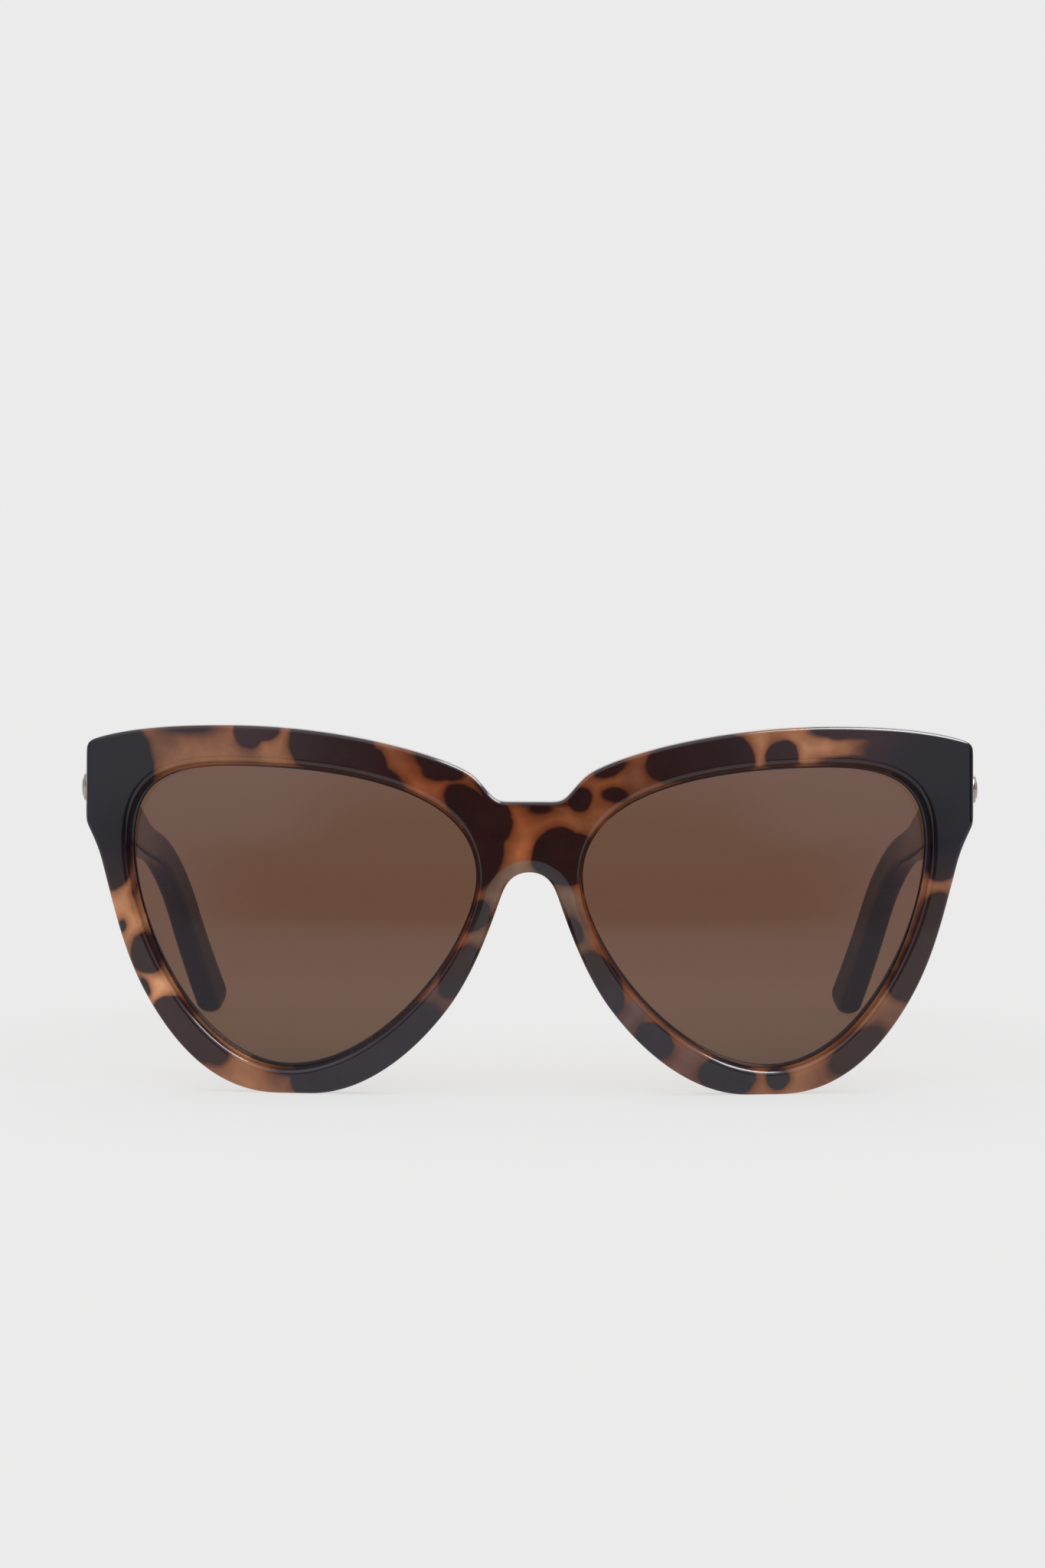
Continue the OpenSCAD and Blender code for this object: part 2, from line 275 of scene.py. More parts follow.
# ---------------------------------------------------------------- front: shape
def back_rings(loop, n, radius, steps, support):
    """Rings round an edge at the back, from the wall to the back surface."""
    rings = []
    for s, c in quarter(steps)[::-1]:
        q = loop + n * (radius * (1 - s))
        rings.append((q, back_y(*q.T) - radius * (1 - c)))
    q = loop + n * support
    rings.append((q, back_y(*q.T)))
    return rings


def outline_rings():
    """Rings over the outer edge of the front, and the material number of each band."""
    loop = OUTLINE
    n = -outward(loop)
    x, z = np.abs(loop[:, 0]), loop[:, 1]
    # Shares of the wide bevel round the nose, of its narrower arch, and of the ends by the hinges.
    nose = np.where((x < 14.0) & (z < 40), fade(z, 17.5, 25.5), 0.0)
    arch = nose * fade(x, 5.0, 2.0)
    end = fade(x, 71.5, 72.5) * fade(z, 44.0, 45.5) * fade(z, 57.5, 56.0)
    width = EDGE + nose * 2.0 - arch * 0.6 + end * 0.3
    depth = EDGE + nose * 1.4 - arch * 0.4 + end * 0.4
    power = 1.0 + 0.75 * nose
    gap = near(LENS_LOOP, x, z)
    width = np.minimum(width, np.maximum(gap - BEVEL_GAP, BEVEL_LEAST))

    q = loop + n * (width + SUPPORT)[:, None]
    rings = [(q, front_y(*q.T))]
    for s, c in quarter(EDGE_STEPS):
        q = loop + n * (width * (1 - s**power))[:, None]
        rings.append((q, front_y(*q.T) + depth * (1 - c**power)))
    top, bottom = rings[-1][1], back_y(*loop.T) - EDGE
    for f in (0.2, 0.5, 0.8):
        rings.append((loop, top + (bottom - top) * f))
    rings += back_rings(loop, n, *OUTLINE_BACK)
    return rings, [FACE] * (len(rings) - 1)


def opening_rings(loop):
    """Rings through a lens opening, and the material number of each band."""
    n = outward(loop)
    tilt = (loop[:, 0] * n[:, 0] + (loop[:, 1] - FRONT_Z) * n[:, 1]) / FRONT_R
    x, z = np.abs(loop[:, 0]), loop[:, 1]
    nasal = fade(x, 16.0, 10.0) * fade(z, 46.0, 40.0)
    draft = LEDGE + DRAFT + DRAFT_TILT * np.maximum(tilt, 0)
    width = 1.05 - 0.45 * nasal
    depth = 1.0 - 0.3 * nasal

    q = loop + n * (draft + width + SUPPORT)[:, None]
    rings = [(q, front_y(*q.T))]
    for s, c in quarter(EDGE_STEPS):
        q = loop + n * (draft + width * (1 - s))[:, None]
        rings.append((q, front_y(*q.T) + depth * (1 - c)))
    first_wall = len(rings) - 1
    for f in (0.35, 0.75, 1.0):
        q = loop + n * (LEDGE + (draft - LEDGE) * (1 - f))[:, None]
        rings.append((q, front_y(*q.T) + depth + WALL_DEPTH * f))
    last_wall = len(rings) - 1
    rings.append((loop, front_y(*loop.T) + (depth + WALL_DEPTH) + LIP_DEPTH))
    rings += back_rings(loop, n, *OPENING_BACK)

    # The wall's material, with its painted red-brown glow of light through the amber, starts on the
    # last two bands of the edge before it.
    kinds = [FACE] * (len(rings) - 1)
    kinds[first_wall - 2 : last_wall] = [WALL] * (last_wall - first_wall + 2)
    # The lip's bands get the painted groove shadow.
    kinds[last_wall : last_wall + 2] = [LIP, LIP]
    return rings, kinds


def on_rim(loops, x, z):
    """Whether each point is inside the first loop and outside the others."""
    keep = inside(loops[0], x, z)
    for loop in loops[1:]:
        keep &= ~inside(loop, x, z)
    return keep


def fill(rims, surface, verts):
    """Triangles of one surface between the rings that bound it; adds its points to verts."""
    loops = [xz for _, xz in rims]
    gx, gz = np.meshgrid(np.arange(*GRID_X, PITCH_XZ), np.arange(*GRID_Z, PITCH_XZ * ROW_SHARE))
    gx = gx + (np.arange(gx.shape[0]) % 2)[:, None] * PITCH_XZ / 2
    gx, gz = gx.ravel(), gz.ravel()
    keep = on_rim(loops, gx, gz)
    gx, gz = gx[keep], gz[keep]
    far = np.all([near(loop, gx, gz) > RING_GAP for loop in loops], 0)
    gx, gz = gx[far], gz[far]
    numbers = [ids for ids, _ in rims] + [add_points(verts, gx, surface(gx, gz), gz)]
    index = np.concatenate(numbers)
    points = [Vector(p) for p in np.vstack(loops + [np.stack([gx, gz], 1)]).tolist()]
    edges, at = [], 0
    for loop in loops:
        m = len(loop)
        edges += [(at + i, at + (i + 1) % m) for i in range(m)]
        at += m
    corners, _, found, origin, _, _ = delaunay_2d_cdt(points, edges, [], 0, 1e-7)
    tri = np.array([[corners[i] for i in f] for f in found])
    middle = tri.mean(1)
    one, two = tri[:, 1] - tri[:, 0], tri[:, 2] - tri[:, 0]
    # Slivers along a straight stretch of the outline aren't part of the surface.
    ok = np.abs(one[:, 0] * two[:, 1] - one[:, 1] * two[:, 0]) > SLIVER
    ok &= on_rim(loops, middle[:, 0], middle[:, 1])
    return [
        tuple(index[origin[i][0]] for i in f)
        for f, good in zip(found, ok)
        if good and all(origin[i] for i in f)
    ]


def build_front():
    """The front: its rounded outline, two lipped lens openings, and the surfaces between them."""
    verts, faces, kinds = [], [], []
    rims_front, rims_back = [], []
    edges = [outline_rings()] + [opening_rings(LENS_LOOP * [side, 1]) for _, side in SIDES]
    for rings, band_kinds in edges:
        ids = [add_points(verts, xz[:, 0], y, xz[:, 1]) for xz, y in rings]
        for a, b, kind in zip(ids, ids[1:], band_kinds):
            faces += band(a, b)
            kinds += [kind] * len(a)
        rims_front.append((ids[0], rings[0][0]))
        rims_back.append((ids[-1], rings[-1][0]))
    for rims, surface in ((rims_front, front_y), (rims_back, back_y)):
        cover = fill(rims, surface, verts)
        faces += cover
        kinds += [FACE] * len(cover)
    return new_piece("front_body", verts, faces, kinds)


# ---------------------------------------------------------------- lenses
def build_lens(name, side):
    """A curved lens whose edge sits inside the rim."""
    edge = LENS_LOOP + outward(LENS_LOOP) * LENS_GRIP
    turn = math.asin(LENS_X / FRONT_R)
    axis = np.array([math.sin(turn), -math.cos(turn)])
    vertex = np.array([LENS_X, LENS_Y]) - axis * LENS_VERTEX
    centre = vertex - axis * LENS_R
    middle = np.array([LENS_X, LENS_Z])

    def surface(x, z, r):
        return centre[1] - np.sqrt(r**2 - (x - centre[0]) ** 2 - (z - LENS_Z) ** 2)

    # Sizes of the rings against the edge, closer together near it.
    shares = np.concatenate([[1.0, 0.985, 0.96], np.linspace(0.92, 0.06, 18)])
    verts, faces, rims = [], [], []
    for r in (LENS_R, LENS_R - LENS_THICK):
        ids = []
        for s in shares:
            x, z = (middle + (edge - middle) * s).T
            ids.append(add_points(verts, x * side, surface(x, z, r), z))
        verts.append([middle[0] * side, float(surface(middle[0], middle[1], r)), middle[1]])
        for a, b in zip(ids, ids[1:]):
            faces += band(a, b)
        faces += fan(ids[-1], len(verts) - 1)
        rims.append(ids[0])
    faces += band(*rims)
    return new_piece(name, verts, faces)


# ---------------------------------------------------------------- temples
TEMPLE_START, TEMPLE_LEVEL = 16.55, 50.9
OUTER_X = 73.5
# Slopes in degrees at the hinge, before the bend and along the ear tip.
START_SLOPE, END_SLOPE, TIP_SLOPE = 11.0, 9.0, 52.0
STRAIGHT, BEND_R = 94.0, 38.0
TEMPLE_H, BEND_H, TIP_H = 12.6, 5.4, 6.6
THICK_START, THICK_END = 3.8, 4.2
# Where the outer face starts to turn in towards the head, and how fast.
TURN_START, TURN_IN = 94.0, 0.0036
STRAIGHT_POINTS, BEND_POINTS, TIP_POINTS, CAP_POINTS = 80, 30, 24, 13
# The cap of the ear tip stops just short of a quarter turn, and its thickness falls more slowly.
CAP_QUARTER, CAP_POWER = 12.3, 0.8
# Inset and place of the rings that round the end at the hinge, and the free way after them.
END_RINGS = ((0.45, 0.0), (0.28, 0.04), (0.13, 0.14), (0.04, 0.28), (0.0, 0.5))
END_GAP = 0.2
# The rings lean over to the slope of the temple along this length.
LEAN_LENGTH = 6.0
CORNER_STEPS, SIDE_POINTS = 8, 3
# Size of the ring that keeps each end face even.
END_FACE = 0.6


def temple_path():
    """Middle line of a temple: (y, z, slope, height, end taper), from the hinge to the ear tip."""
    out = []
    y, z = TEMPLE_START, TEMPLE_LEVEL
    n = STRAIGHT_POINTS
    for i in range(n):
        t = i / n
        a = math.radians(START_SLOPE + (END_SLOPE - START_SLOPE) * t)
        out.append((y, z, a, TEMPLE_H + (BEND_H - TEMPLE_H) * t, 1.0))
        y += STRAIGHT / n * math.cos(a)
        z -= STRAIGHT / n * math.sin(a)
    a0, a1 = math.radians(END_SLOPE), math.radians(TIP_SLOPE)

    def bend(a):
        return y + BEND_R * (math.sin(a) - math.sin(a0)), z + BEND_R * (math.cos(a) - math.cos(a0))

    n = BEND_POINTS
    for i in range(n):
        t = i / n
        a = a0 + (a1 - a0) * t
        out.append((*bend(a), a, BEND_H + (TIP_H - BEND_H) * smooth(t), 1.0))
    y1, z1 = bend(a1)
    length = (z1 - TIP_H / 2) / math.sin(a1)
    n = TIP_POINTS
    for i in range(n):
        t = i / n
        out.append((y1 + length * t * math.cos(a1), z1 - length * t * math.sin(a1), a1, TIP_H, 1.0))
    y2, z2 = y1 + length * math.cos(a1), z1 - length * math.sin(a1)
    for i in range(CAP_POINTS):
        b = math.pi / 2 * i / CAP_QUARTER
        s, taper = TIP_H / 2 * math.sin(b), math.cos(b)
        out.append((y2 + s * math.cos(a1), z2 - s * math.sin(a1), a1, TIP_H * taper, taper))
    return out


def temple_stations():
    """Rings of a temple: (y, z, lean, height, inset, end taper)."""
    (y, z, slope, height, taper), *rest = temple_path()
    stations = [
        (y + shift, z - shift * math.tan(slope), 0.0, height, inset, taper)
        for inset, shift in END_RINGS
    ]
    free = stations[-1][0] + END_GAP
    for y, z, slope, height, taper in rest:
        if y > free:
            lean = slope
            if y < TEMPLE_START + LEAN_LENGTH:
                lean = slope * smooth((y - TEMPLE_START) / LEAN_LENGTH)
            stations.append((y, z, lean, height, 0.0, taper))
    return stations


def thickness_at(y):
    """Thickness of a temple."""
    share = min(1.0, max(0.0, (y - TEMPLE_START) / (TURN_START - TEMPLE_START)))
    return THICK_START + (THICK_END - THICK_START) * share


def rounded_section(half_w, half_h, radius):
    """Points round a rectangle with round corners, counterclockwise from +w."""
    r = min(radius, half_w * 0.999, half_h * 0.999)
    arcs = []
    for cx, cz, start in ((1, 1, 0), (-1, 1, 90), (-1, -1, 180), (1, -1, 270)):
        turns = [math.radians(start + 90 * i / CORNER_STEPS) for i in range(CORNER_STEPS + 1)]
        arcs.append([
            (cx * (half_w - r) + r * math.cos(a), cz * (half_h - r) + r * math.sin(a)) for a in turns
        ])
    points = []
    for arc, following in zip(arcs, arcs[1:] + arcs[:1]):
        points += arc
        p, q = arc[-1], following[0]
        for k in range(1, SIDE_POINTS + 1):
            t = k / (SIDE_POINTS + 1)
            points.append((p[0] + (q[0] - p[0]) * t, p[1] + (q[1] - p[1]) * t))
    return points


def build_temple(name, side):
    """A temple: a flat arm that narrows to a bent ear tip, with softly rounded edges."""
    verts, faces, rings = [], [], []
    for y, z, lean, height, inset, taper in temple_stations():
        thick = thickness_at(y) * taper**CAP_POWER
        # The edges are rounder towards the ear tip.
        radius = 0.9 + 0.3 * fade(y, 40.0, 115.0) + 0.4 * fade(y, 116.0, 136.0)
        radius = max(radius - inset * 0.5, 0.2)
        ring = []
        for w, v in rounded_section(thick / 2 - inset, height / 2 - inset, radius):
            back = y + v * math.sin(lean)
            outer = OUTER_X - TURN_IN * max(0.0, back - TURN_START) ** 2
            ring.append(len(verts))
            verts.append([(outer - thickness_at(back) / 2 + w) * side, back, z + v * math.cos(lean)])
        rings.append(ring)
    for a, b in zip(rings, rings[1:]):
        faces += band(a, b)
    for ring in (rings[0], rings[-1]):
        c = np.mean([verts[i] for i in ring], 0)
        inner = []
        for i in ring:
            inner.append(len(verts))
            verts.append((c + (np.array(verts[i]) - c) * END_FACE).tolist())
        verts.append(c.tolist())
        faces += band(ring, inner) + fan(inner, len(verts) - 1)
    return new_piece(name, verts, faces)


# ---------------------------------------------------------------- studs
# Radius of the dome, how deep the stud sits in the temple, and the points of each ring.
STUD_R, STUD_SUNK, STUD_POINTS = 6.0, 0.3, 72
# Size of each ring against the oval and its height against the dome, from the rim inwards.
STUD_PROFILE = [
    (1.0, -0.55), (1.0, -0.30), (0.985, -0.14), (0.955, -0.04),
    (0.91, 0.0), (0.85, 0.0), (0.80, -0.02), (0.775, -0.09), (0.76, -0.22),
    (0.735, -0.24), (0.71, -0.13), (0.68, -0.05), (0.64, -0.01),
    (0.55, 0.0), (0.42, 0.0), (0.28, 0.0), (0.14, 0.0),
]


def build_stud(name, word, side):
    """An oval stud on the temple: a raised ring round a low dome."""
    (x0, y0, z0), (x1, y1, z1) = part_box(f"stud_{word}")
    rise = max(abs(x0), abs(x1)) / MM - OUTER_X
    centre_y, centre_z = (y0 + y1) / 2 / MM - ROW_Y / MM, (z0 + z1) / 2 / MM
    half_y, half_z = (y1 - y0) / 2 / MM, (z1 - z0) / 2 / MM
    verts = []

    def add_ring(share, height):
        start = len(verts)
        for i in range(STUD_POINTS):
            a = 2 * math.pi * i / STUD_POINTS
            dy, dz = half_y * share * math.cos(a), half_z * share * math.sin(a)
            verts.append([(OUTER_X + height(dy, dz)) * side, centre_y + dy, centre_z + dz])
        return range(start, len(verts))

    def dome(dy, dz):
        return rise - (STUD_R - math.sqrt(STUD_R**2 - dy * dy - dz * dz))

    rings = [add_ring(1.0, lambda dy, dz: -STUD_SUNK)]
    rings += [add_ring(share, lambda dy, dz: dome(dy, dz) + lift) for share, lift in STUD_PROFILE]
    faces = []
    for a, b in zip(rings, rings[1:]):
        faces += band(a, b)
    for ring, x in ((rings[-1], OUTER_X + rise), (rings[0], OUTER_X - STUD_SUNK)):
        verts.append([x * side, centre_y, centre_z])
        faces += fan(ring, len(verts) - 1)
    return new_piece(name, verts, faces)


# ---------------------------------------------------------------- nose pads
# Stretch of the curve beside the nose that a pad covers, and its distance from that edge.
PAD_SHARES, PAD_OFFSET = np.linspace(0.02, 0.86, 41), 0.55 + 1.5
# Height over the back of the rim, depth inside it, and half width at the ends and added in between.
PAD_RISE, PAD_SUNK, PAD_HALF, PAD_SWELL = 6.2, 0.6, 0.35, 1.45
PAD_POINTS = 20


def build_pad(name, side):
    """A moulded pad that swells from the back of the rim beside the nose."""
    line = bezier(HALF[NOSE_SIDE], PAD_SHARES)
    tangent = np.gradient(line, axis=0)
    tangent /= np.hypot(*tangent.T)[:, None]
    n = np.stack([-tangent[:, 1], tangent[:, 0]], 1)
    if n[len(n) // 2, 0] < 0:
        n = -n
    verts, faces, rings = [], [], []
    m = PAD_POINTS
    for i in range(len(line)):
        u = (i / (len(line) - 1)) * 2 - 1
        swell = math.sqrt(max(0.0, 1 - abs(u) ** 2.4))
        half = PAD_HALF + PAD_SWELL * swell**0.6
        mid = line[i] + n[i] * PAD_OFFSET
        base = float(back_y(mid[0], mid[1])) - PAD_SUNK
        ring = []
        for j in range(m + 1):
            ang = math.pi * j / m
            w = -math.cos(ang)
            w = math.copysign(abs(w) ** 0.75, w) * half
            h = math.sin(ang) ** 0.7 * (PAD_RISE * swell + PAD_SUNK)
            q = mid + n[i] * w
            ring.append(len(verts))
            verts.append([q[0] * side, base + h, q[1]])
        rings.append(ring)
    for a, b in zip(rings, rings[1:]):
        faces += [(a[j], a[j + 1], b[j + 1], b[j]) for j in range(m)]
        faces.append((a[0], b[0], b[m], a[m]))
    faces.append(tuple(rings[0]))
    faces.append(tuple(rings[-1]))
    return new_piece(name, verts, faces)


# ---------------------------------------------------------------- node helpers
def new_material(name):
    """An empty node material, its tree and its output."""
    mat = bpy.data.materials.new(name)
    mat.use_nodes = True
    nt = mat.node_tree
    nt.nodes.clear()
    return mat, nt, nt.nodes.new("ShaderNodeOutputMaterial")


def node(nt, kind, inputs=None, **settings):
    """A node with its settings; an input is given as a number or colour, or as a socket to link."""
    n = nt.nodes.new(kind)
    for key, value in settings.items():
        setattr(n, key, value)
    for key, value in (inputs or {}).items():
        if isinstance(value, bpy.types.NodeSocket):
            nt.links.new(value, n.inputs[key])
        else:
            n.inputs[key].default_value = value
    return n


def math_node(nt, operation, *values):
    """The result of one Math node; each value is a number or a socket."""
    return node(nt, "ShaderNodeMath", dict(enumerate(values)), operation=operation).outputs[0]


def vector_node(nt, operation, *values):
    """The outputs of one Vector Math node: 0 is a vector, and "Value" a number."""
    return node(nt, "ShaderNodeVectorMath", dict(enumerate(values)), operation=operation).outputs


def map_range(nt, value, source=(0.0, 1.0), result=(0.0, 1.0), soft=False):
    """The value carried from one range to another, evenly or with a soft step."""
    inputs = {"Value": value}
    inputs["From Min"], inputs["From Max"] = source
    inputs["To Min"], inputs["To Max"] = result
    kind = "SMOOTHSTEP" if soft else "LINEAR"
    return node(nt, "ShaderNodeMapRange", inputs, interpolation_type=kind).outputs[0]


def colour_ramp(nt, value, stops):
    """Colours blended along a value from 0 to 1."""
    ramp = node(nt, "ShaderNodeValToRGB", {0: value})
    elements = ramp.color_ramp.elements
    while len(elements) < len(stops):
        elements.new(0.5)
    for element, (position, colour) in zip(elements, stops):
        element.position = position
        element.color = (*colour, 1)
    return ramp.outputs["Color"]


def noise(nt, vector, **inputs):
    """A noise texture: "Fac" is its value and "Color" three of them."""
    return node(nt, "ShaderNodeTexNoise", {"Vector": vector, **inputs}).outputs


def bumped(nt, height, strength, distance):
    """A surface normal that follows a height."""
    inputs = {"Height": height, "Strength": strength, "Distance": distance}
    return node(nt, "ShaderNodeBump", inputs).outputs[0]


def ellipse(nt, flat, x, z, half_x, half_z, turn=0):
    """0 in the middle of an ellipse and 1 at its edge."""
    inputs = {
        "Vector": flat,
        "Location": (x, z, 0),
        "Rotation": (0, 0, math.radians(turn)),
        "Scale": (half_x, half_z, 1),
    }
    at = node(nt, "ShaderNodeMapping", inputs, vector_type="TEXTURE")
    return vector_node(nt, "LENGTH", at.outputs[0])["Value"]


def patch(nt, flat, x, z, radius, share):
    """A soft round mask: share in its middle half and 0 a little outside the radius."""
    away = vector_node(nt, "DISTANCE", flat, (x, z, 0))["Value"]
    return map_range(nt, away, (radius * 1.2, radius * 0.5), (0.0, share), soft=True)


def tinted(nt, before, weight, tint, blend="MULTIPLY"):
    """The colour before, changed by a tint as far as the weight says."""
    inputs = {"Factor": weight, "A": before, "B": (*tint, 1)}
    return node(nt, "ShaderNodeMix", inputs, data_type="RGBA", blend_type=blend).outputs["Result"]


# ---------------------------------------------------------------- tortoise acetate
# Dark marks of the front in millimetres: x, z, half width, half height, turn in degrees, crispness.
FRONT_MARKS = [
    (-69.5, 53.5, 7.5, 8.5, 0, 0.5), (-66, 50.5, 4.5, 4.5, 0, 0.5), (-70.5, 45.5, 6.5, 9, 0, 1),
    (-70, 38.6, 4.7, 5.8, 0, 1), (-56.5, 60.2, 4, 1.1, 0, 0.4), (-46.2, 59.6, 2.5, 2.9, 0, 1),
    (-43.8, 60.4, 2.8, 2.4, 0, 1), (-35, 58, 4.6, 5.4, 0, 1), (-31, 56.5, 5.6, 4.8, -15, 1),
    (-26.5, 54, 3.2, 3, -20, 1), (-24, 52, 3.6, 1.9, -28, 1), (-14.8, 54.3, 4.2, 1.8, -24, 1),
    (-15.4, 53.2, 2.2, 1.4, -10, 0.8), (-7, 49.6, 2.6, 0.8, -48, 1), (-10.4, 47.8, 4.2, 2.6, -45, 1),
    (-6.8, 45, 3.9, 4.2, 0, 1), (-7.8, 40.5, 3.5, 6.5, -10, 1), (-8, 30.2, 1.6, 2.2, 8, 1),
    (-8.8, 28.2, 1.8, 0.9, 30, 1), (-11.5, 20.5, 2.6, 4.8, -28, 1), (-19, 11, 5.2, 3.8, 42, 0.5),
    (-25, 7, 6, 4, 28, 0.7), (-31.5, 3.8, 6.5, 4, 10, 0.9), (-36.3, 2.8, 3, 3.4, 0, 0.7),
    (-39.5, 3.6, 1.8, 0.6, 0, 0.5), (-58.5, 12.3, 4, 3.3, -42, 1), (-55, 8.8, 4.6, 3.4, -42, 1),
    (-52.3, 7, 3, 2.2, -38, 0.6), (-62.8, 23, 3.1, 3.4, 0, 1), (-67.3, 27.1, 0.7, 0.9, 0, 1),
    (-63.5, 17.2, 0.7, 1.5, 22, 1), (-65.1, 33.6, 0.5, 1.4, 0, 1), (4.8, 39.4, 4.3, 4.7, 0, 1),
    (7.8, 40.4, 3.2, 2.8, -12, 1), (6.2, 37.2, 3, 2.5, 0, 1), (0.5, 48.3, 5.5, 0.55, 0, 1),
    (1.8, 47.4, 1.8, 0.8, 0, 0.8), (8.2, 49, 2, 1.9, 15, 1), (14, 49.4, 2, 1.2, -3, 1),
    (13.2, 53.8, 2.6, 1.15, 22, 1), (32, 55, 5, 4.6, 0, 1), (26.5, 55.3, 5.6, 3.8, 14, 1),
    (22, 54.2, 2.9, 2.7, 0, 1), (23.8, 56.2, 4.4, 2.1, 16, 1), (41.4, 55.9, 2.55, 2.4, 0, 1),
    (41.4, 54.2, 2.6, 1.6, 0, 1), (51, 59.9, 4.8, 1.3, 0, 0.8), (60, 59.5, 9, 1.7, -4, 0.8),
    (54, 53.6, 6.6, 2, -4, 0.8), (63, 56.3, 8, 4, 0, 0.35), (67, 50, 8, 11, 0, 0.7),
    (68, 41.5, 4.9, 6.4, 0, 1), (67, 26.8, 3.8, 6.5, -14, 1), (64.5, 21.5, 3.6, 5.5, -22, 1),
    (62.2, 18, 3.3, 3, -30, 0.8), (54, 7.2, 5.6, 2.6, 40, 0.5), (41, 2.7, 1.9, 1.9, 0, 1),
    (32.5, 3.2, 4.6, 3.2, -8, 1), (20.6, 9, 3.4, 2.6, -42, 0.9), (12, 18.8, 2.7, 5.4, 27, 1),
    (7.4, 27.2, 1.2, 2.3, 14, 1),
]
# Round patches where the amber differs: x, z, radius, share, tint. The red and deep tints are the
# acetate's own tone. The others are painted light: a dusky painted shade, and pink, grey and pale
# painted sheen.
DUSK_SHADE, PINK_SHEEN, GREY_SHEEN = (0.28, 0.29, 0.44), (0.48, 0.58, 1.15), (0.50, 0.78, 1.90)
PALE_SHEEN, RED, DEEP = (1.6, 1.7, 1.8), (1.12, 0.92, 0.80), (0.8, 0.66, 0.62)
FRONT_TINTS_AND_SHEEN = [
    (62, 56.5, 5, 0.78, DUSK_SHADE),
    (57.5, 56.5, 3.2, 0.4, DUSK_SHADE),
    (60, 10, 5, 0.3, PINK_SHEEN),
    (62.5, 15, 5, 0.35, PINK_SHEEN),
    (25.5, 5, 4.5, 0.9, PINK_SHEEN),
    (16.5, 12.5, 3.8, 1.0, GREY_SHEEN),
    (-14.5, 15.8, 3.4, 1.0, GREY_SHEEN),
    (-40.5, 2.5, 3, 0.35, PINK_SHEEN),
    (-60.5, 57, 3.5, 0.35, DUSK_SHADE),
    (-47, 55.5, 3.5, 0.3, DUSK_SHADE),
    (45.5, 57.5, 4.2, 1.0, PALE_SHEEN),
    (50.5, 57, 2.8, 0.5, PALE_SHEEN),
    (37, 57, 3.0, 0.6, PALE_SHEEN),
    (-66, 31, 5, 0.7, PALE_SHEEN),
    (-65, 24, 5, 0.7, PALE_SHEEN),
    (-61, 15.5, 4.5, 1.0, PALE_SHEEN),
    (-62.5, 17.5, 3.0, 0.9, PALE_SHEEN),
    (-48, 3.5, 5, 0.5, PALE_SHEEN),
    (67, 34.5, 3.5, 0.45, PALE_SHEEN),
    (-17, 51, 4, 0.8, RED),
    (-20, 54.8, 3.5, 0.9, DEEP),
    (18, 52, 3.5, 0.5, DUSK_SHADE),
    (0, 43, 6, 0.7, RED),
    (0, 39.5, 3.0, 0.7, PALE_SHEEN),
]
# Where the dark marks look neutral instead of warm: |x|, z, radius, colour.
CORNER_DARK, LOW_DARK = (0.0045, 0.0030, 0.0060), (0.0180, 0.0125, 0.0200)
COOL_ZONES = [(71, 50, 16, CORNER_DARK), (12, 7, 14, LOW_DARK), (32, 4, 14, LOW_DARK)]
# Amber that is deeper and redder at the bridge, and a painted grey sheen on the bevel round the nose:
# x, z, sizes.
BRIDGE_TINT, BEVEL_SHEEN = (0.80, 0.60, 0.50), (0.73, 1.2, 2.0)
NOSE_BEVEL = (0, 25.5, 9.6, 13.1)
# Dark marks, a red-brown margin, then amber, along the distance from the edge of a mark.
EDGE_RANGE = (-1.0, 3.0)
ACETATE = [
    (0.0, (0.0290, 0.0100, 0.0100)),
    (0.225, (0.0310, 0.0095, 0.0085)),
    (0.262, (0.0900, 0.0270, 0.0130)),
    (0.34, (0.2000, 0.0700, 0.0270)),
    (0.55, (0.3000, 0.1200, 0.0500)),
    (1.0, (0.3700, 0.1700, 0.0780)),
]
# Distance over which marks run into each other, and how much softer they are in a lens opening, where
# the softer, redder wall is a painted glow of light through the amber.
MARK_JOIN, WALL_SOFT = 0.35, 0.35
# IOR and roughness.
FRONT_FINISH, TEMPLE_FINISH = (1.49, (0.07, 0.14)), (1.40, (0.16, 0.26))


def temple_marks(seed):
    """Dark marks along a temple: y from the front, z, half length, half height, turn, crispness."""
    rng = random.Random(seed)
    marks = [(20.0, 51.0, 7.5, 9.0, 0, 1.0)]
    y = 30.0
    while y < 150.0:
        # Middle of the temple at this y, before and after the bend.
        level = 50.9 - 0.176 * (y - 16.5) if y < 109 else 34.6 - 0.75 * (y - 109)
        long = rng.uniform(2.5, 7.0)
        marks.append((
            round(y, 1),
            round(level + rng.uniform(-3.0, 3.0), 1),
            round(long, 1),
            round(rng.uniform(1.8, 4.2), 1),
            round(rng.uniform(-35, 25)),
            round(rng.choice([0.4, 0.7, 1.0, 1.0]), 1),
        ))
        y += rng.uniform(2.5, 6.5)
    return marks


